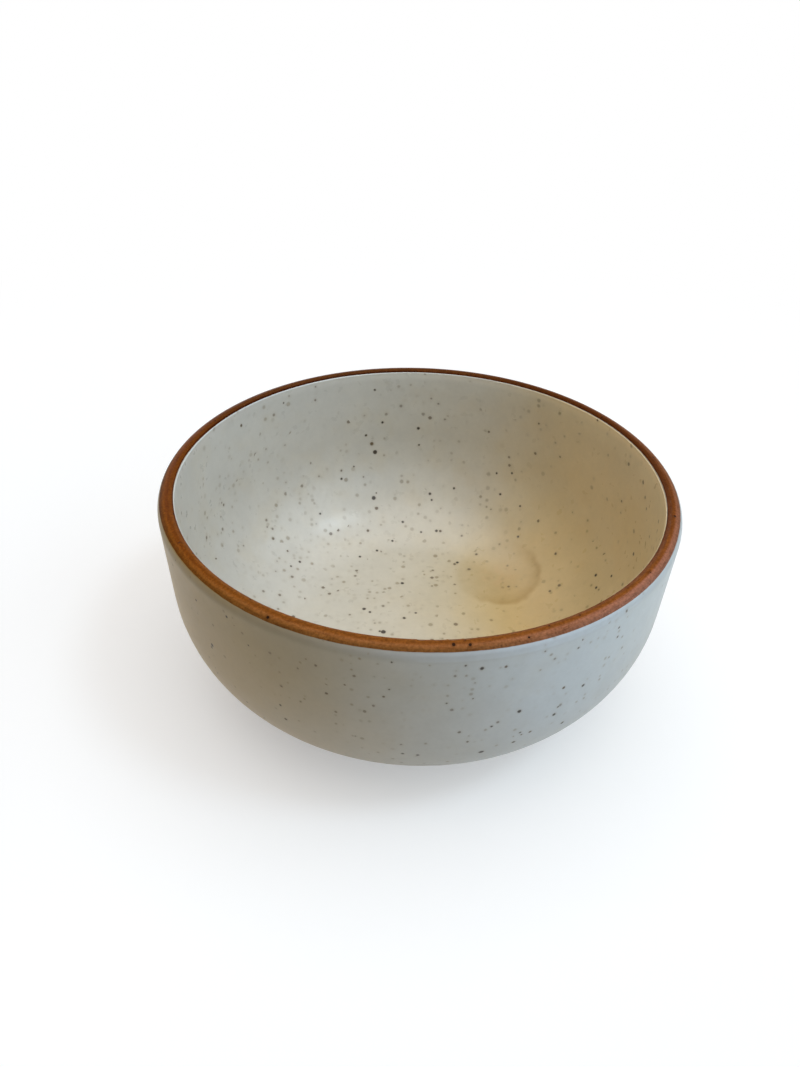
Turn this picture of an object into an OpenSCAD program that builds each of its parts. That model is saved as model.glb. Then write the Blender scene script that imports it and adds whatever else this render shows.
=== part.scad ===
// Round stoneware bowl: one fired clay body, a glaze coat outside, one inside, one in the
// hollow of the foot, and an iron-brown band over the lip. Every piece is a true revolve
// about Z. The origin is the middle of the foot ring's underside, at table level.

/* [Bowl] */
// Widest outside diameter, a little below the top of the lip
bowl_d = 152; // [136:1:176]
// Height from the table to the top of the lip
bowl_h = 68; // [58:0.5:84]
// Angle by which the outside wall leans in on its way down, in degrees
wall_lean = 1.8; // [0:0.1:5]
// Radius of the belly that turns the wall into the base
belly_r = 40.4; // [34:0.2:46]
// Height of the belly's lowest line above the table
belly_rise = 1.1; // [0.7:0.1:1.6]

/* [Wall] */
// Wall thickness at the lip, glaze included
wall_t = 4.7; // [4.2:0.1:6]
// Angle by which the inside wall leans in on its way down, in degrees
well_lean = 2.4; // [0.5:0.1:5]
// Thickness of the base, from the foot's hollow to the floor of the bowl
base_t = 5.2; // [4:0.1:7]

/* [Lip] */
// Radius of the lip's inner edge; the rest of the wall makes its outer edge
lip_in_r = 1.4; // [1.1:0.1:1.8]
// Drop of the rim band's outer border below the top of the lip
band_out_drop = 1.3; // [0.6:0.05:2.2]
// Drop of the rim band's inner border below the top of the lip
band_in_drop = 0.95; // [0.4:0.05:1.1]

/* [Foot] */
// How far inside the glaze line the foot ring's outer edge stands
foot_set = 3.7; // [2.5:0.1:6]
// Width of the foot ring
foot_w = 6; // [4:0.5:9]
// Depth of the hollow inside the foot ring
foot_recess = 1.8; // [1.3:0.1:2.6]
// Size of the bevels on the foot ring's two lower edges
foot_bevel = 0.8; // [0.3:0.1:1.2]
// Taper of the foot ring's sides, in degrees
foot_draft = 8; // [0:1:15]

/* [Glaze] */
// Thickness of the glaze coats and of the rim band
glaze_t = 0.5; // [0.3:0.05:0.7]
// Height above the table up to which the clay outside is left bare
bare_h = 3.2; // [2.6:0.1:6]
// Bare clay between the foot ring and the glaze in its hollow
base_glaze_gap = 1.5; // [0.5:0.1:4]
// Radius of the roll of thick glaze below the rim band's inner border
roll_r = 0.35; // [0.25:0.05:0.45]
// How far the roll stands proud of the glaze beside it
roll_proud = 0.12; // [0.05:0.01:0.2]

/* [Hidden] */
$fn = 180;

// Overrun of each cut past what it removes
cut = 2;
// How far inside a round the straight stretch that runs into it ends, so that they cross
blend = 0.002;

// Lip: two rounds of unlike radius that meet at the crest
lip_out_r = wall_t - lip_in_r;
crest = [bowl_d / 2 - lip_out_r, bowl_h];
lip_out_c = crest - [0, lip_out_r];
lip_in_c = crest - [0, lip_in_r];

// Outside: the wall runs tangent from the lip's outer round into the belly
wall_n = [cos(wall_lean), -sin(wall_lean)];
belly_z = belly_rise + belly_r;
belly_in = (belly_r - lip_out_r + sin(wall_lean) * (lip_out_c.y - belly_z)) / cos(wall_lean);
belly_c = [crest.x - belly_in, belly_z];

// Inside: the same, from the lip's inner round into the round of the well
well_n = [cos(well_lean), -sin(well_lean)];
well_up = [sin(well_lean), cos(well_lean)];
well_r = belly_r - wall_t;
floor_z = foot_recess + base_t;
well_z = floor_z + well_r;
well_in = (well_r + lip_in_r + sin(well_lean) * (lip_in_c.y - well_z)) / cos(well_lean);
well_c = [crest.x - well_in, well_z];

// Directions from the rounds' centres to the borders of the coats, square to the surface
band_out_a = asin((lip_out_r - band_out_drop) / lip_out_r);
band_in_a = asin((lip_in_r - band_in_drop) / lip_in_r);
bare_a = asin((belly_z - bare_h) / belly_r);

// Roll of glaze: a round on the lip's inner one, whose upper side runs out at the band's border
roll_in = lip_in_r - roll_r + roll_proud;
roll_end = lip_in_r + roll_proud / 3;
roll_a = band_in_a - acos((pow(roll_in, 2) + pow(roll_end, 2) - pow(roll_r, 2)) / (2 * roll_in * roll_end));
roll_c = lip_in_c + roll_in * [-cos(roll_a), sin(roll_a)];

// Foot: it follows the line on the belly at which the glaze ends
glaze_line_r = belly_c.x + belly_r * cos(bare_a);
foot_r = glaze_line_r - foot_set;
foot_in_r = foot_r - foot_w;
hollow_top_r = foot_in_r - (foot_recess - foot_bevel) * tan(foot_draft);

// Part of a disc on the side away from the axis, from its lowest point to a height above its centre
module outer_disc(r, up) {
    intersection() {
        circle(r = r);
        translate([0, -r - cut]) square([r + cut, r + cut + up]);
    }
}

// Half profile of all that lies inside the bowl's outside, drawn in by inset
module outside_form(inset = 0) {
    top = crest.y - inset;
    low = belly_rise + inset;
    wall_top = lip_out_c + (lip_out_r - inset - blend) * wall_n;
    wall_low = belly_c + (belly_r - inset - blend) * wall_n;
    polygon([[0, low], [belly_c.x, low], wall_low, wall_top, [crest.x, top], [0, top]]);
    translate(belly_c) outer_disc(belly_r - inset, lip_in_r);
    translate(lip_out_c) outer_disc(lip_out_r - inset, lip_out_r);
}

// Half profile of the space inside the bowl, grown into the wall by inset
module well_form(inset = 0) {
    low = floor_z - inset;
    wall_low = well_c + (well_r + inset - blend) * well_n;
    wall_top = lip_in_c - (lip_in_r - inset - blend) * well_n;
    past_top = wall_top + lip_in_r * well_up;
    polygon([[0, low], [well_c.x, low], wall_low, past_top, [0, past_top.y]]);
    translate(well_c) outer_disc(well_r + inset, lip_in_r);
    difference() {
        translate([0, wall_top.y]) square([crest.x, lip_in_r + cut]);
        translate(lip_in_c) circle(r = lip_in_r - inset);
    }
}

// Solid plug that the foot ring is turned from; the well cuts off its upper part
module foot_plug() {
    side_x = foot_r + (belly_z - foot_bevel) * tan(foot_draft);
    polygon([[0, 0], [foot_r - foot_bevel, 0], [foot_r, foot_bevel], [side_x, belly_z], [0, belly_z]]);
}

// Hollow inside the foot ring, with its bevel carried on below the table
module foot_hollow() {
    mouth_x = foot_in_r + foot_bevel + cut;
    polygon([[0, -cut], [mouth_x, -cut], [foot_in_r, foot_bevel], [hollow_top_r, foot_recess],
             [0, foot_recess]]);
}

// Coat on the outside, from the crest of the lip down and under the base
module outside_coat() {
    difference() {
        outside_form();
        outside_form(glaze_t);
        translate([0, lip_out_c.y]) square([crest.x, lip_out_r + cut]);
    }
}

// Coat on the inside, from the crest of the lip down and across the floor
module inside_coat() {
    difference() {
        well_form(glaze_t);
        well_form();
    }
}

// What the rim band covers: a wedge over the lip between its two borders
module band_zone() {
    out_far = lip_out_c + (lip_out_r + cut) * [cos(band_out_a), sin(band_out_a)];
    in_far = lip_in_c + (lip_in_r + cut) * [-cos(band_in_a), sin(band_in_a)];
    top = bowl_h + cut;
    polygon([lip_out_c, out_far, [out_far.x, top], [in_far.x, top], in_far, lip_in_c]);
}

// What stays bare of glaze: all that lies below a ray from the belly's centre
module bare_zone() {
    far = belly_c + (belly_r + cut) * [cos(bare_a), -sin(bare_a)];
    polygon([belly_c, far, [far.x, -cut], [0, -cut], [0, belly_c.y]]);
}

// Fired clay: wall, floor, lip and foot ring in one
module clay_body() {
    color("#b59a7c")
    rotate_extrude()
    difference() {
        union() {
            outside_form(glaze_t);
            foot_plug();
        }
        well_form(glaze_t);
        foot_hollow();
    }
}

// White glaze from the rim band's outer border down to the bare clay above the foot
module outside_glaze() {
    color("#cfccc4")
    rotate_extrude()
    difference() {
        outside_coat();
        band_zone();
        bare_zone();
    }
}

// White glaze inside, up to the rim band's inner border, where it ends in a thick roll
module inside_glaze() {
    color("#e2dccb")
    rotate_extrude()
    difference() {
        well_form(glaze_t);
        difference() {
            well_form();
            translate(roll_c) circle(r = roll_r);
        }
        band_zone();
    }
}

// Iron-brown band over the lip
module rim_band() {
    color("#8a4b1e")
    rotate_extrude()
    intersection() {
        union() {
            outside_coat();
            inside_coat();
        }
        band_zone();
    }
}

// White glaze in the hollow of the foot ring
module base_glaze() {
    color("#cfccc4")
    translate([0, 0, foot_recess - glaze_t])
    cylinder(r = hollow_top_r - base_glaze_gap, h = glaze_t);
}

clay_body();
outside_glaze();
inside_glaze();
rim_band();
base_glaze();
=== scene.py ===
"""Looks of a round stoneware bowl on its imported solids: speckled glaze coats, an iron-brown rim band and bare
clay, with a pale floor, soft light and the photograph's camera. Lengths in the materials are millimetres."""

import math

import bpy
from mathutils import Matrix, Vector


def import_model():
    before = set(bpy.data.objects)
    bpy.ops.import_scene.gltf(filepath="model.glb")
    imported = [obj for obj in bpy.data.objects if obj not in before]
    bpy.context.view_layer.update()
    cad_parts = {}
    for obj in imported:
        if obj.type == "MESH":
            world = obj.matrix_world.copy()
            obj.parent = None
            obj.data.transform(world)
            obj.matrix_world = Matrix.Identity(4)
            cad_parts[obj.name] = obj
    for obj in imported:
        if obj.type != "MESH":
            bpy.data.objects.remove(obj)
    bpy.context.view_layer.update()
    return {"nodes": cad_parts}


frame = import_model()

# The bowl's own sizes that the materials follow, as in the source. Each of the lip's two rounds is given by its
# middle's distance from the axis, its middle's height and its radius.
LIP_OUT, LIP_IN = (72.7, 64.7, 3.3), (72.7, 66.6, 1.4)
# Distance from the axis at which the outside glaze ends
GLAZE_LINE_R = 47.7
# Directions from the rounds' middles to the band's inner and outer borders, in radians above level
BAND_IN_AT, BAND_OUT_AT = 0.327, 0.651
# Place across the band: the height from which it is measured, and its two ends in radians from straight up
BAND_MIDDLE_Z, BAND_ENDS = 66.2, (-1.0, 1.38)

# Large iron specks that show in the photograph: x, y, z and radius
INSIDE_SPECKS = (
    (-17.8, 67.1, 34.9, 0.77), (-17.7, 58.7, 19.0, 0.72), (-16.8, 60.2, 20.4, 0.22), (-10.1, -4.7, 7.0, 0.79),
    (-11.3, -4.5, 7.0, 0.34), (-1.3, 70.4, 44.3, 0.51), (7.4, 49.9, 10.7, 0.48), (-17.5, 6.5, 7.0, 0.58),
    (15.5, 34.9, 7.2, 0.47), (4.3, 62.0, 19.9, 0.45), (-4.7, 21.5, 7.0, 0.54), (-3.3, 2.7, 7.0, 0.45),
    (-15.1, 68.9, 47.1, 0.45), (-30.3, 59.3, 26.9, 0.40), (-21.3, 67.0, 42.2, 0.41), (-15.1, 39.4, 7.8, 0.45),
    (13.7, 62.6, 22.5, 0.38), (-42.7, 26.8, 10.7, 0.41), (31.4, 57.1, 24.2, 0.39), (-21.3, 35.4, 7.6, 0.42),
    (38.1, 42.4, 14.9, 0.38), (35.2, 59.2, 32.6, 0.36), (61.4, 8.1, 19.7, 0.42), (61.8, 13.0, 21.2, 0.47),
    (69.8, 4.1, 37.6, 0.48), (-5.9, 52.8, 12.2, 0.42), (-37.5, 47.5, 18.2, 0.34), (-15.3, 5.0, 7.0, 0.40),
    (65.4, 7.5, 25.5, 0.38), (-9.5, 44.7, 8.8, 0.41), (5.1, 60.3, 18.1, 0.36), (1.4, 49.3, 10.2, 0.35),
    (29.6, 61.5, 30.9, 0.32), (-25.8, 63.0, 30.4, 0.25), (-18.1, 68.8, 60.6, 0.32), (0.6, 5.6, 7.0, 0.35),
    (-0.8, 69.9, 37.3, 0.34), (-49.3, 51.3, 62.6, 0.23), (38.7, 51.3, 22.9, 0.31), (-45.4, 23.5, 11.1, 0.30),
)
OUTSIDE_SPECKS = (
    (15.9, -74.2, 61.8, 0.43), (26.5, -70.5, 44.1, 0.48), (18.5, -70.8, 28.7, 0.64), (36.2, -65.8, 38.3, 0.42),
    (-51.9, -54.7, 46.2, 0.48), (43.0, -61.9, 45.1, 0.38), (39.6, -62.6, 31.7, 0.41), (26.6, -68.8, 30.7, 0.41),
    (36.9, -65.6, 40.9, 0.21), (27.8, -69.4, 35.1, 0.22), (20.0, -72.5, 40.5, 0.24), (-45.1, -61.1, 62.1, 0.34),
    (2.4, -73.4, 29.5, 0.36), (12.1, -75.0, 63.2, 0.21), (-1.4, -73.6, 30.0, 0.34), (-32.5, -67.8, 39.3, 0.29),
    (-4.5, -75.8, 64.1, 0.17), (50.4, -56.5, 57.0, 0.25), (50.1, -57.0, 60.5, 0.26), (-5.0, -75.5, 55.0, 0.15),
    (39.1, -65.1, 60.8, 0.22), (8.5, -75.1, 50.7, 0.15), (-39.6, -64.5, 56.3, 0.20), (-55.1, -52.1, 59.1, 0.28),
)
# Two in the hollow of the foot, which the photograph doesn't show
BASE_SPECKS = ((9.0, 14.0, 1.3, 0.4), (-16.0, 5.0, 1.3, 0.3))
# The band's own, as distance from the axis, degrees round from +X, and radius
BAND_SPECKS = (
    (73.75, 277.1, 0.40), (74.00, 280.0, 0.36), (73.37, 345.5, 0.33), (74.55, 243.1, 0.32),
    (74.29, 290.7, 0.24), (71.61, 201.8, 0.30), (71.85, 217.8, 0.20), (72.33, 237.5, 0.20),
    (72.72, 302.2, 0.18), (73.53, 323.2, 0.16), (72.73, 279.3, 0.15), (72.74, 295.4, 0.15),
    (73.30, 213.1, 0.16), (71.87, 33.2, 0.19), (74.11, 133.1, 0.22), (71.75, 76.1, 0.22), (72.28, 158.6, 0.20),
    (73.13, 10.8, 0.22),
)
# Random specks, faint ones and then small ones: size of a cell, share of the cells that hold one, least and largest
# radius, how soft the edge is, and the shift of the pattern
INSIDE_RANDOM = ((2.4, 0.23, 0.36, 0.82, 0.28, 0.0), (2.8, 0.12, 0.36, 0.72, 0.19, 11.0))
OUTSIDE_RANDOM = ((2.0, 0.26, 0.20, 0.52, 0.20, 0.0), (2.3, 0.17, 0.20, 0.50, 0.13, 11.0))

# Painted light and shade on the glaze from -X to +X, each for low down and for high up: tan where warm light falls
# and paler, bluer where cool light falls
INSIDE_PAINTED_LIGHT = (
    (-1.0, (0.87, 0.90, 0.95), (0.83, 0.86, 0.91)), (0.3, (0.96, 0.94, 0.88), (0.98, 0.98, 0.96)),
    (0.7, (1.02, 0.90, 0.65), (1.05, 0.92, 0.68)), (1.0, (1.12, 0.97, 0.68), (1.18, 1.01, 0.72)),
)
OUTSIDE_PAINTED_LIGHT = (
    (-1.0, (0.90, 0.71, 0.41), (0.71, 0.54, 0.26)), (-0.3, (0.84, 0.77, 0.69), (0.65, 0.58, 0.47)),
    (0.4, (0.91, 1.01, 1.20), (0.95, 1.08, 1.30)), (1.0, (0.78, 0.85, 0.93), (0.86, 0.99, 1.12)),
)
# Heights between which the low painted light turns into the high one
INSIDE_PAINTED_LIGHT_Z, OUTSIDE_PAINTED_LIGHT_Z = (9.0, 48.0), (30.0, 60.0)
# Nearer to the axis than this, the tints draw in towards the middle one
TINT_LEAST_R = 42.0
# The one tint of the outside's far half, which takes the place of the painted light there, and the range of y over
# which it sets in
BACK_TINT, BACK_Y = (0.93, 0.96, 1.06, 1.0), (-28.0, 20.0)
# Heights in the well over which the glaze turns lighter, partly thicker glaze and partly painted light, then paler
# with a painted highlight, then white with a painted highlight on the roll below the band
THICK_AND_LIT_Z, PAINTED_HIGHLIGHT_Z, ROLL_HIGHLIGHT_Z = (57.0, 65.0), (63.5, 66.4), (66.3, 66.9)
# Heights over which the outside darkens just under the band, as painted shade
SHADE_UNDER_BAND_Z = (63.4, 66.2)
# Painted warm light, tan, low on one side of the well: its middle, how far it reaches, and how far it is full
WARM_LIGHT_AT, WARM_LIGHT_REACH, WARM_LIGHT_FULL = (46.0, 12.0, 10.0), 60.0, 14.0
# Round the band, by degrees from +X: how far its inner and outer borders draw back in mm
BAND_DRAWN = (
    (-180, 0.38, 0.10), (-165, 0.30, 0.05), (-150, 0.00, 0.38), (-135, 0.00, 0.38), (-120, 0.00, 0.15),
    (-90, 0.00, 0.32), (-65, 0.00, 0.12), (-40, 0.00, 0.00), (-20, 0.15, 0.42), (-8, 0.42, 0.35), (10, 0.32, 0.28),
    (40, 0.25, 0.00), (90, 0.00, 0.20), (115, 0.18, 0.05), (135, 0.00, 0.40), (160, 0.05, 0.45), (180, 0.38, 0.10),
)
# Round the band, by degrees from +X: its painted light and shade as a tint, lightest at the front, bluer at the front
# right, darker and browner at the sides and darkest at the back
BAND_PAINTED_LIGHT = (
    (-180, (0.64, 0.48, 0.14)), (-140, (0.84, 0.73, 0.41)), (-120, (0.97, 0.96, 0.89)), (-40, (1.04, 1.03, 1.34)),
    (0, (0.65, 0.55, 0.42)), (140, (0.45, 0.41, 0.41)), (180, (0.64, 0.48, 0.14)),
)
# Faint tan mark low in the well: its middle and radius, and the sides on which its edge is darkest and it is fullest
STAIN_AT, STAIN_R = (30.6, 27.6, 7.7), 15.5
STAIN_DARK, STAIN_FULL = (0.80, -0.60, 0.0), (-0.4, -0.92, 0.0)


def srgb(red, green, blue):
    """A colour written as 0-255 sRGB, as the linear values that shaders take."""
    def linear(v):
        v /= 255
        return v / 12.92 if v <= 0.04045 else ((v + 0.055) / 1.055) ** 2.4
    return (linear(red), linear(green), linear(blue), 1.0)


class Shade:
    """One material's node tree, with a short call for each kind of node used here."""

    def __init__(self, name):
        self.material = bpy.data.materials.new(name)
        self.material.use_nodes = True
        self.tree = self.material.node_tree
        self.tree.nodes.clear()
        self.at = self.vector("SCALE", self.add("TexCoord").outputs["Object"], scale=1000.0)
        self.x, self.y, self.z = self.add("SeparateXYZ", {"Vector": self.at}).outputs
        flat = self.vector("MULTIPLY", self.at, (1.0, 1.0, 0.0))
        self.out_from_axis = self.vector("LENGTH", flat)
        self.round_axis = self.vector("NORMALIZE", flat)

    def add(self, kind, inputs=None, **props):
        node = self.tree.nodes.new("ShaderNode" + kind)
        for key, value in props.items():
            setattr(node, key, value)
        for key, value in (inputs or {}).items():
            self.put(node.inputs[key], value)
        return node

    def put(self, socket, value):
        """Links a socket to another one, or sets its plain value."""
        if isinstance(value, bpy.types.NodeSocket):
            self.tree.links.new(value, socket)
        else:
            socket.default_value = value

    def math(self, operation, a, b=0.0, c=0.0):
        return self.add("Math", {0: a, 1: b, 2: c}, operation=operation).outputs[0]

    def minus(self, a, b):
        return self.math("SUBTRACT", a, b)

    def times(self, a, b):
        return self.math("MULTIPLY", a, b)

    def line(self, value, slope, start):
        """Value times slope, plus start."""
        return self.math("MULTIPLY_ADD", value, slope, start)

    def vector(self, operation, a, b=None, scale=None):
        node = self.add("VectorMath", {0: a}, operation=operation)
        if b is not None:
            self.put(node.inputs[1], b)
        if scale is not None:
            self.put(node.inputs["Scale"], scale)
        return node.outputs["Value" if operation in ("LENGTH", "DISTANCE", "DOT_PRODUCT") else "Vector"]

    def xyz(self, x=0.0, y=0.0, z=0.0):
        return self.add("CombineXYZ", {0: x, 1: y, 2: z}).outputs[0]

    def step(self, value, low, high, to_low=0.0, to_high=1.0):
        """A smooth step from to_low at low to to_high at high."""
        ends = {0: value, 1: low, 2: high, 3: to_low, 4: to_high}
        return self.add("MapRange", ends, interpolation_type="SMOOTHSTEP").outputs[0]

    def mix(self, share, a, b, blend="MIX"):
        return self.add("Mix", {0: share, 6: a, 7: b}, data_type="RGBA", blend_type=blend).outputs[2]

    def tinted(self, colour, tint, share=1.0):
        return self.mix(share, colour, tint, "MULTIPLY")

    def noise(self, size, detail=2.0, rough=0.5, at=None, shift=0.0):
        """Noise about 0 to 1 whose patches are about size across."""
        where = at or self.at
        if shift:
            where = self.vector("ADD", where, (shift, -shift, shift * 0.5))
        node = self.add("TexNoise", {"Vector": where, "Scale": 1.0 / size, "Detail": detail, "Roughness": rough})
        return node.outputs["Fac"]

    def wander(self, size, reach):
        """Coordinates moved about by up to reach, for outlines that aren't true circles."""
        node = self.add("TexNoise", {"Vector": self.at, "Scale": 1.0 / size, "Detail": 1.0})
        off = self.vector("SUBTRACT", node.outputs["Color"], (0.5, 0.5, 0.5))
        return self.vector("ADD", self.at, self.vector("SCALE", off, scale=2.0 * reach))

    def specks(self, at, cell, share, small, large, soft, shift=0.0):
        """Scattered round specks, as (mask, halo, random value of each). One cell in 1 / share holds one."""
        where = self.vector("ADD", at, (shift, shift * 0.7, -shift)) if shift else at
        cells = self.add("TexVoronoi", {"Vector": where, "Scale": 1.0 / cell}, feature="F1")
        pick, size, tone = self.add("SeparateColor", {"Color": cells.outputs["Color"]}).outputs
        away = self.times(cells.outputs["Distance"], cell)
        radius = self.line(size, large - small, small)
        here = self.math("LESS_THAN", pick, share)
        inner = self.minus(radius, away)
        mask = self.times(self.step(inner, -soft, soft), here)
        halo = self.times(self.step(inner, -1.6 * large, 0.0), here)
        return mask, halo, tone

    def placed(self, at, spots, soft):
        """Specks at given places, as (mask, halo)."""
        nearest = None
        for x, y, z, radius in spots:
            away = self.minus(self.vector("DISTANCE", at, (x, y, z)), radius)
            nearest = away if nearest is None else self.math("MINIMUM", nearest, away)
        return self.step(nearest, 1.3 * soft, -0.7 * soft), self.step(nearest, 0.7, 0.0)

    def ramp(self, share, stops, most=1.0):
        """What stands between the stops, each a place from 0 to 1 and three values up to most."""
        node = self.add("ValToRGB", {"Fac": share})
        node.color_ramp.interpolation = "CARDINAL"
        marks = node.color_ramp.elements
        for place, _ in stops[1:-1]:
            marks.new(place)
        for mark, (place, values) in zip(marks, stops):
            mark.position, mark.color = place, (*(v / most for v in values[:3]), 1.0)
        return self.vector("SCALE", node.outputs["Color"], scale=most)

    def tint(self, across, stops, heights):
        """The tint by place across, which turns from the low one into the high one between the two heights."""
        share = self.line(across, 0.5, 0.5)
        under, above = (self.ramp(share, [(stop[0] / 2 + 0.5, stop[i]) for stop in stops], 1.4) for i in (1, 2))
        return self.mix(self.step(self.z, *heights), under, above)

    def finish(self, colour, roughness, height, specular=0.5):
        """Ends the tree in a shader, with a height in mm for the bump."""
        bump = self.add("Bump", {"Strength": 1.0, "Distance": 0.001, "Height": height}).outputs["Normal"]
        gloss = {"Roughness": roughness, "Specular IOR Level": specular}
        shader = self.add("BsdfPrincipled", {"Base Color": colour, "Normal": bump, **gloss})
        self.tree.links.new(shader.outputs["BSDF"], self.add("OutputMaterial").inputs["Surface"])
        return self.material


def band_points():
    """The band's specks in x, y and z, on the lip's two rounds."""
    points = []
    for out, degrees, radius in BAND_SPECKS:
        middle, low, round_r = LIP_OUT if out > LIP_OUT[0] else LIP_IN
        up = low + math.sqrt(max(round_r**2 - (out - middle) ** 2, 0.0))
        turn = math.radians(degrees)
        points.append((out * math.cos(turn), out * math.sin(turn), up, radius))
    return tuple(points)


BAND_POINTS = band_points()


def well(g, body, across, warm):
    """What only the inside has: a warmer floor, lighter glaze under the lip, partly thicker glaze and partly painted
    light, a painted highlight on the roll, and painted warm light, tan, low at one side.
    """
    body = g.mix(g.times(g.step(g.out_from_axis, 66.0, 30.0), 0.45), body, warm)
    # Lighter under the lip on one side: partly thicker glaze, partly painted light
    patchy = g.step(g.noise(14.0, 2.0, shift=9.0), 0.3, 0.7, 0.25, 0.6)
    thick_glaze_and_light = g.times(g.times(g.step(g.z, *THICK_AND_LIT_Z), patchy), g.step(across, -0.4, 0.3))
    body = g.mix(thick_glaze_and_light, body, srgb(228, 226, 216))
    # Painted highlight: a paler strip under the lip, strongest on one side
    painted_highlight_strip = g.times(g.step(g.z, *PAINTED_HIGHLIGHT_Z), g.step(across, -0.9, 0.2, 0.15, 0.75))
    body = g.mix(painted_highlight_strip, body, srgb(240, 234, 222))
    # Painted highlight on the roll of glaze below the band
    roll = g.step(g.z, *ROLL_HIGHLIGHT_Z, 0.0, 0.6)
    body = g.mix(roll, body, srgb(244, 243, 236))
    # Painted warm light: a tan cast low on one side of the well
    painted_warm_light = g.step(g.vector("DISTANCE", g.wander(9.0, 4.0), WARM_LIGHT_AT), WARM_LIGHT_REACH, WARM_LIGHT_FULL)
    return g.tinted(body, (0.88, 0.83, 0.70, 1.0), painted_warm_light)


def stain(g, body):
    """The tan mark: faint, with a darker crescent inside one side of its edge and a pinker middle."""
    away = g.vector("DISTANCE", g.wander(5.0, 1.6), STAIN_AT)
    side = g.vector("NORMALIZE", g.vector("SUBTRACT", g.at, STAIN_AT))
    dark_side = g.step(g.vector("DOT_PRODUCT", side, STAIN_DARK), -0.35, 0.65)
    full_side = g.step(g.vector("DOT_PRODUCT", side, STAIN_FULL), -0.9, 0.1, 0.45, 1.0)
    soft = g.line(dark_side, -1.6, 3.6)
    disc = g.step(g.math("DIVIDE", g.minus(STAIN_R, away), soft), -0.5, 0.5)
    crescent = g.times(g.times(g.step(away, STAIN_R - 5.5, STAIN_R - 0.6), disc), dark_side)
    cloudy = g.step(g.noise(4.0, 3.0, shift=3.0), 0.2, 0.7, 0.6, 1.0)
    body = g.mix(g.times(g.times(disc, cloudy), g.times(full_side, 0.32)), body, srgb(170, 152, 112))
    body = g.mix(g.times(g.times(crescent, cloudy), 0.42), body, srgb(156, 128, 70))
    middle = g.times(g.step(away, 9.0, 3.0), g.step(g.noise(3.0, 3.0, shift=17.0), 0.3, 0.7))
    return g.mix(g.times(middle, 0.14), body, srgb(214, 172, 144))


def iron(g, body, spots, many, inside):
    """Iron specks on a glaze: faint and small ones at random and large ones at given places. Gives their mask too."""
    rough_at = g.wander(0.9, 0.12)
    gather = g.step(g.noise(15.0, 2.0, shift=21.0), 0.35, 0.68, 0.5, 1.5)
    if inside:
        # They lie thickest on the floor and on the left
        gather = g.times(gather, g.step(g.line(g.x, 0.30, g.z), -4.0, 32.0, 1.9, 0.72))

    def scattered(cell, share, *rest):
        return g.specks(rough_at, cell, g.times(gather, share * many), *rest)

    kinds = INSIDE_RANDOM if inside else OUTSIDE_RANDOM
    (faint, faint_halo, faint_tone), (small, small_halo, small_tone) = (scattered(*kind) for kind in kinds)
    large, large_halo = g.placed(rough_at, spots, 0.17)
    rim, _ = g.placed(rough_at, BAND_POINTS, 0.12)

    halo = g.math("MAXIMUM", g.times(faint_halo, 0.06), g.times(small_halo, 0.12))
    halo = g.math("MAXIMUM", halo, g.times(large_halo, 0.22))
    body = g.mix(halo, body, srgb(150, 132, 100))
    faint = g.times(faint, g.line(faint_tone, 0.46, 0.10))
    small = g.times(small, g.line(small_tone, 0.50, 0.42))
    dark = g.math("MAXIMUM", large, rim)
    body = g.mix(faint, body, srgb(114, 94, 54))
    body = g.mix(small, body, srgb(78, 58, 28))
    body = g.mix(g.times(dark, 0.94), body, srgb(36, 22, 6))
    return body, g.math("MAXIMUM", dark, small)


def glaze(name, light, dull, warm, spots, many=1.0, inside=False):
    """Satin off-white glaze of three colours with painted light, tan on the side of the warm light and cooler on the
    side of the cool light, and iron specks: large ones at the spots, and many times the usual number at random."""
    g = Shade(name)
    # Place across the bowl from -1 at -X to 1 at +X, a little unsteady
    across = g.math("DIVIDE", g.x, g.math("MAXIMUM", g.out_from_axis, TINT_LEAST_R))
    across = g.math("ADD", across, g.line(g.noise(22.0, 2.0, shift=27.0), 0.24, -0.12))
    body = g.mix(g.step(g.noise(26.0, 3.0), 0.30, 0.70, 0.0, 0.7), light, dull)
    body = g.mix(g.times(g.step(g.noise(11.0, 3.0, shift=40.0), 0.45, 0.75), 0.35), body, warm)
    if inside:
        body = stain(g, well(g, body, across, warm))
        # Painted warm and cool light by side and height
        body = g.tinted(body, g.tint(across, INSIDE_PAINTED_LIGHT, INSIDE_PAINTED_LIGHT_Z))
    else:
        # Painted warm and cool light by side and height, giving way to one even tint on the far half
        painted_side_light = g.tint(across, OUTSIDE_PAINTED_LIGHT, OUTSIDE_PAINTED_LIGHT_Z)
        body = g.tinted(body, g.mix(g.step(g.y, *BACK_Y), painted_side_light, BACK_TINT))
        # Painted shade just under the band, darkest on the -X side
        painted_shade_under_band = g.times(g.step(g.z, *SHADE_UNDER_BAND_Z), g.step(across, -0.5, 0.5, 1.0, 0.55))
        body = g.tinted(body, (0.72, 0.72, 0.72, 1.0), painted_shade_under_band)
    mottle = g.line(g.noise(1.3, 3.0, 0.6), 0.10, 0.95)
    mottle = g.times(mottle, g.line(g.noise(5.0, 2.0, shift=7.0), 0.10, 0.95))
    body = g.tinted(body, g.xyz(mottle, mottle, mottle))
    body, speck = iron(g, body, spots, many, inside)

    roughness = g.line(g.noise(3.5, 3.0, shift=5.0), 0.10, 0.24 if inside else 0.36)
    roughness = g.line(speck, 0.12, roughness)
    height = g.times(g.noise(2.6, 2.0, shift=13.0), 0.018)
    height = g.line(g.noise(0.6, 2.0), 0.003, height)
    height = g.line(speck, -0.03, height)
    return g.finish(body, roughness, height)


def covered(g, round_at, towards, border, drawn, wave):
    """Where pale glaze runs over one border of the band, by the distance from it along the lip's round in mm."""
    middle, up, radius = round_at
    level = g.times(g.minus(g.out_from_axis, middle), towards)
    in_by = g.times(g.minus(g.math("ARCTAN2", g.minus(g.z, up), level), border), radius)
    return g.step(g.minus(g.math("ADD", in_by, wave), drawn), 0.04, -0.10)


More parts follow.
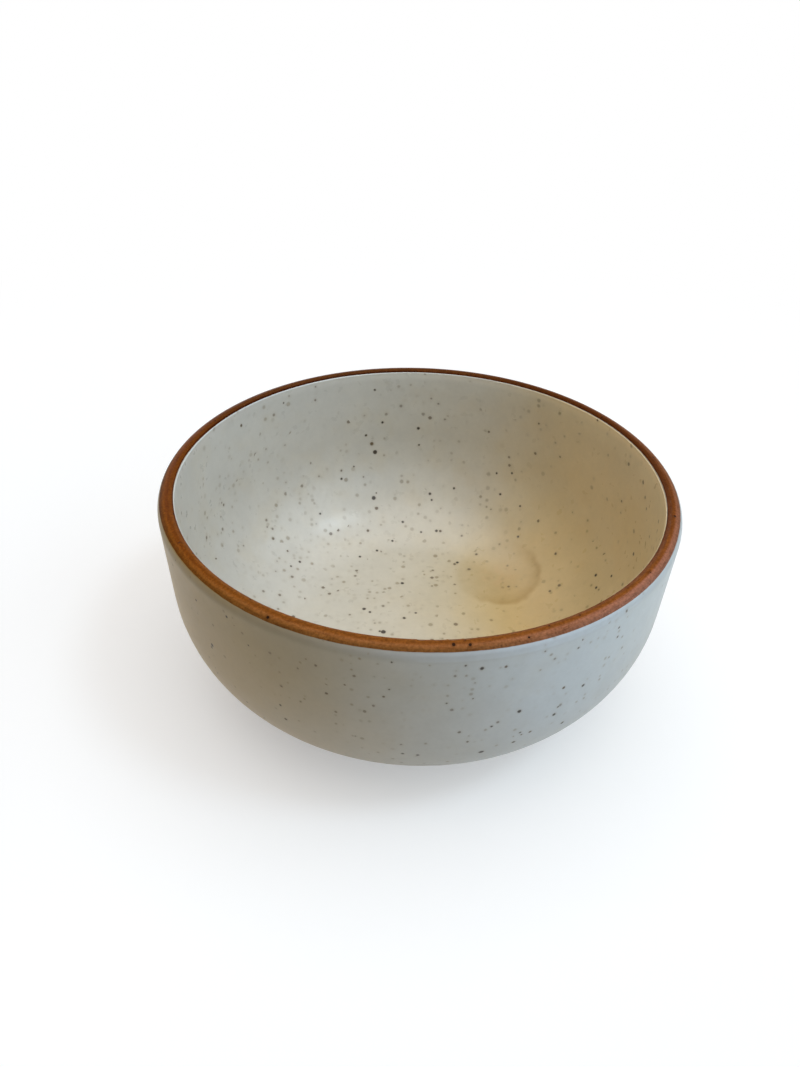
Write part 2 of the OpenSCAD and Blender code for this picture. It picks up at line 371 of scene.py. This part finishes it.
def band(name):
    """Satin iron-brown glaze: streaked along the lip, lighter over the crest, partly where it runs thin and partly as
    a painted highlight, darker at its borders as painted shade, and with painted light and shade round the lip."""
    g = Shade(name)
    # Along the lip the pattern is drawn out, and across it is fine; this place runs round without a seam
    along = g.vector("SCALE", g.round_axis, scale=14.0)
    streak_at = g.vector("ADD", along, g.xyz(z=g.times(g.out_from_axis, 2.2)))
    streak = g.noise(1.0, 4.0, 0.6, at=streak_at)
    fine = g.noise(1.0, 3.0, 0.6, at=g.vector("SCALE", streak_at, scale=3.1), shift=5.0)
    drift = g.times(g.minus(g.noise(2.4, 2.0), 0.5), 0.10)
    # Place across the band, 0 at the inner border and 1 at the outer
    part = g.math("ARCTAN2", g.minus(g.out_from_axis, LIP_OUT[0]), g.minus(g.z, BAND_MIDDLE_Z))
    part = g.step(g.math("ADD", part, drift), *BAND_ENDS)
    # Painted light across the band: lighter over the crest, partly where the glaze runs thin and partly as a painted
    # highlight, and darker at both borders as painted shade
    body = g.ramp(part, (
        (0.0, srgb(110, 58, 22)), (0.08, srgb(131, 78, 36)), (0.32, srgb(133, 79, 31)), (0.54, srgb(131, 75, 25)),
        (0.70, srgb(142, 85, 37)), (0.80, srgb(151, 95, 49)), (0.90, srgb(141, 89, 43)), (1.0, srgb(116, 74, 34)),
    ))
    # On the right a painted shade darkens the inner half and a painted pink sheen lies on the outer half; on the left
    # a dark red line of painted shade follows the inner border
    right = g.step(g.x, 5.0, 55.0)
    body = g.tinted(body, (0.74, 0.66, 0.60, 1.0), g.times(g.step(part, 0.50, 0.25, 0.0, 0.7), right))
    body = g.mix(g.times(g.step(part, 0.58, 0.80, 0.0, 0.34), right), body, srgb(168, 120, 100))
    edge = g.times(g.step(part, 0.12, 0.03, 0.0, 0.6), g.step(g.x, 15.0, -25.0))
    body = g.mix(edge, body, srgb(84, 36, 12))
    turn = g.line(g.math("ARCTAN2", g.y, g.x), 0.5 / math.pi, 0.5)
    # Painted light and shade round the band
    body = g.tinted(body, g.ramp(turn, [(degrees / 360 + 0.5, tint) for degrees, tint in BAND_PAINTED_LIGHT], 1.5))
    body = g.tinted(body, (0.62, 0.52, 0.42, 1.0), g.step(streak, 0.52, 0.72, 0.0, 0.70))
    body = g.tinted(body, (1.32, 1.34, 1.40, 1.0), g.step(streak, 0.47, 0.28, 0.0, 0.70))
    body = g.tinted(body, (0.66, 0.58, 0.50, 1.0), g.step(fine, 0.52, 0.72, 0.0, 0.60))
    grain = g.line(g.step(g.noise(0.7, 3.0, 0.7, shift=31.0), 0.32, 0.68), 0.44, 0.78)
    body = g.tinted(body, g.xyz(grain, grain, grain))

    rough_at = g.wander(0.7, 0.12)
    small, _, small_tone = g.specks(rough_at, 1.5, 0.34, 0.12, 0.32, 0.12, shift=3.0)
    dark, dark_halo = g.placed(rough_at, BAND_POINTS, 0.09)
    body = g.mix(g.times(dark_halo, 0.30), body, srgb(74, 38, 18))
    body = g.mix(g.times(small, g.line(small_tone, 0.45, 0.15)), body, srgb(62, 34, 14))
    body = g.mix(g.times(dark, 0.92), body, srgb(30, 20, 15))

    # Pale glaze runs over the borders where they draw back
    drawn = g.ramp(turn, [(degrees / 360 + 0.5, (inner, outer, 0.0)) for degrees, inner, outer in BAND_DRAWN])
    drawn_in, drawn_out, _ = g.add("SeparateXYZ", {"Vector": drawn}).outputs
    wave = g.line(g.noise(2.2, 2.0, shift=19.0), 0.16, -0.02)
    body = g.mix(covered(g, LIP_IN, -1.0, BAND_IN_AT, drawn_in, wave), body, srgb(196, 188, 172))
    across = g.add("SeparateXYZ", {"Vector": g.round_axis}).outputs[0]
    # The pale glaze beside the band takes the outside's painted light too
    beside = g.tinted(srgb(184, 179, 169), g.tint(across, OUTSIDE_PAINTED_LIGHT, OUTSIDE_PAINTED_LIGHT_Z))
    body = g.mix(covered(g, LIP_OUT, 1.0, BAND_OUT_AT, drawn_out, wave), body, beside)

    roughness = g.line(streak, 0.16, 0.32)
    height = g.times(streak, 0.035)
    height = g.line(fine, 0.012, height)
    height = g.line(dark, -0.08, height)
    return g.finish(body, roughness, height, 0.02)


def clay(name):
    """Bare fired stoneware: buff, gritty and matt, toasted near the glaze line."""
    g = Shade(name)
    body = g.mix(g.step(g.noise(12.0, 4.0), 0.35, 0.65), srgb(186, 160, 128), srgb(166, 138, 106))
    toast = g.step(g.out_from_axis, GLAZE_LINE_R - 2.6, GLAZE_LINE_R - 0.2)
    toast = g.times(toast, g.step(g.noise(3.0, 3.0), 0.3, 0.7, 0.4, 0.9))
    body = g.mix(toast, body, srgb(146, 102, 66))
    rough_at = g.wander(0.6, 0.12)
    grit, _, tone = g.specks(rough_at, 1.1, 0.5, 0.10, 0.30, 0.06)
    body = g.mix(g.times(grit, g.line(tone, 0.5, 0.15)), body, srgb(104, 80, 58))
    pale, _, _ = g.specks(rough_at, 1.3, 0.35, 0.10, 0.28, 0.06, shift=5.0)
    body = g.mix(g.times(pale, 0.45), body, srgb(214, 196, 168))
    # Turning lines from the trimming tool, round the axis
    rings = g.noise(1.0, 2.0, at=g.xyz(g.times(g.out_from_axis, 2.4), g.times(g.z, 2.4)))
    height = g.times(rings, 0.05)
    height = g.line(g.noise(0.5, 3.0, 0.6), 0.05, height)
    height = g.line(grit, 0.04, height)
    roughness = g.line(g.noise(2.0, 2.0), 0.15, 0.78)
    return g.finish(body, roughness, height, 0.3)


def dress(node, material):
    mesh = frame["nodes"][node].data
    mesh.materials.clear()
    mesh.materials.append(material)


# Each glaze's light, dull and warm colour
inner = srgb(215, 209, 195), srgb(207, 202, 190), srgb(212, 200, 176)
outer = srgb(206, 202, 192), srgb(198, 194, 184), srgb(204, 196, 180)
dress("inside_glaze", glaze("inside glaze", *inner, INSIDE_SPECKS, inside=True))
dress("outside_glaze", glaze("outside glaze", *outer, OUTSIDE_SPECKS, many=0.75))
dress("base_glaze", glaze("base glaze", *outer, BASE_SPECKS, many=0.5))
dress("rim_band", band("iron rim glaze"))
dress("clay_body", clay("bare stoneware"))


def shown(tree):
    """1 for the rays that show the background: the camera's own, and those in a reflection or through glass."""
    path = tree.nodes.new("ShaderNodeLightPath")
    both = path.outputs["Is Camera Ray"]
    for name in ("Is Glossy Ray", "Is Transmission Ray"):
        either = tree.nodes.new("ShaderNodeMath")
        either.operation = "MAXIMUM"
        tree.links.new(both, either.inputs[0])
        tree.links.new(path.outputs[name], either.inputs[1])
        both = either.outputs[0]
    return both


def shader(tree, kind, colour, strength=None):
    node = tree.nodes.new("ShaderNode" + kind)
    node.inputs["Color"].default_value = colour
    if strength is not None:
        node.inputs["Strength"].default_value = strength
    return node.outputs[0]


def blend(tree, share, a, b):
    node = tree.nodes.new("ShaderNodeMixShader")
    for socket, value in zip(node.inputs, (share, a, b)):
        tree.links.new(value, socket)
    return node.outputs[0]


def floor():
    """A pale floor that shows the bowl's shadow, white farther off. Light bounces off it as off a greyer one."""
    size, near, far = 12.0, 0.13, 0.45
    mesh = bpy.data.meshes.new("floor")
    mesh.from_pydata([(-size, -size, 0), (size, -size, 0), (size, size, 0), (-size, size, 0)], [], [(0, 1, 2, 3)])
    plane = bpy.data.objects.new("floor", mesh)
    bpy.context.scene.collection.objects.link(plane)
    material = bpy.data.materials.new("pale floor")
    material.use_nodes = True
    tree = material.node_tree
    tree.nodes.clear()
    new, link = tree.nodes.new, tree.links.new
    away = new("ShaderNodeVectorMath")
    away.operation = "LENGTH"
    link(new("ShaderNodeNewGeometry").outputs["Position"], away.inputs[0])
    fade = new("ShaderNodeMapRange")
    fade.interpolation_type = "SMOOTHSTEP"
    fade.inputs["From Min"].default_value, fade.inputs["From Max"].default_value = near, far
    link(away.outputs["Value"], fade.inputs["Value"])
    lit = new("ShaderNodeAddShader")
    link(shader(tree, "BsdfDiffuse", (0.68, 0.68, 0.68, 1)), lit.inputs[0])
    link(shader(tree, "Emission", (1, 1, 1, 1), 0.38), lit.inputs[1])
    white = shader(tree, "Emission", (1, 1, 1, 1), 1.0)
    pale = blend(tree, fade.outputs["Result"], lit.outputs[0], white)
    bounce = shader(tree, "BsdfDiffuse", (0.52, 0.46, 0.32, 1))
    surface = blend(tree, shown(tree), bounce, pale)
    link(surface, new("ShaderNodeOutputMaterial").inputs["Surface"])
    mesh.materials.append(material)


def sun(name, azimuth, elevation, strength, colour, spread):
    """A soft lamp far off. Azimuth is in degrees from +X towards +Y."""
    lamp = bpy.data.lights.new(name, "SUN")
    lamp.energy, lamp.color, lamp.angle = strength, colour, math.radians(spread)
    thing = bpy.data.objects.new(name, lamp)
    a, e = math.radians(azimuth), math.radians(elevation)
    towards = Vector((math.cos(a) * math.cos(e), math.sin(a) * math.cos(e), math.sin(e)))
    thing.rotation_mode = "QUATERNION"
    thing.rotation_quaternion = towards.to_track_quat("Z", "Y")
    thing.location = towards
    bpy.context.scene.collection.objects.link(thing)


def world(colour, strength):
    """Even light all round, and white wherever the background shows."""
    sky = bpy.data.worlds.new("studio")
    bpy.context.scene.world = sky
    sky.use_nodes = True
    tree = sky.node_tree
    tree.nodes.clear()
    light = shader(tree, "Background", colour, strength)
    white = shader(tree, "Background", (1, 1, 1, 1), 1.0)
    surface = blend(tree, shown(tree), light, white)
    tree.links.new(surface, tree.nodes.new("ShaderNodeOutputWorld").inputs["Surface"])


def camera():
    """The photograph's camera, fitted to the rim's circles and the outline in an image of 800 x 1067 pixels."""
    focal, long_side, sensor = 800.0, 1067.0, 36.0
    place = Vector((0.0, -0.2037, 0.19223))
    yaw, pitch, roll = -0.0267, 0.6263, -0.0260
    ahead = Vector((math.sin(yaw) * math.cos(pitch), math.cos(yaw) * math.cos(pitch), -math.sin(pitch)))
    level = Vector((math.cos(yaw), -math.sin(yaw), 0.0))
    down = ahead.cross(level)
    right = math.cos(roll) * level + math.sin(roll) * down
    down = -math.sin(roll) * level + math.cos(roll) * down
    data = bpy.data.cameras.new("camera")
    data.sensor_width, data.sensor_fit = sensor, "AUTO"
    data.lens = focal / long_side * sensor
    data.clip_start, data.clip_end = 0.01, 100.0
    thing = bpy.data.objects.new("camera", data)
    turn = Matrix((right, -down, -ahead)).transposed()
    thing.matrix_world = Matrix.Translation(place) @ turn.to_4x4()
    bpy.context.scene.collection.objects.link(thing)
    bpy.context.scene.camera = thing


floor()
world((1.0, 0.87, 0.66, 1.0), 0.12)
sun("key from the right", -12.0, 20.0, 1.44, (0.72, 0.86, 1.0), 70.0)
sun("high from the right", -12.0, 58.0, 0.46, (0.66, 0.84, 1.0), 13.0)
sun("cool from the front", -60.0, 22.0, 0.24, (0.20, 0.55, 1.0), 40.0)
sun("top", 0.0, 88.0, 1.72, (1.0, 0.985, 0.975), 70.0)
sun("warm from the left", 185.0, 32.0, 0.06, (1.0, 0.50, 0.20), 50.0)
sun("low from behind", 105.0, 10.0, 0.45, (0.97, 0.97, 1.0), 50.0)
camera()

bpy.context.scene.view_settings.view_transform = "Standard"
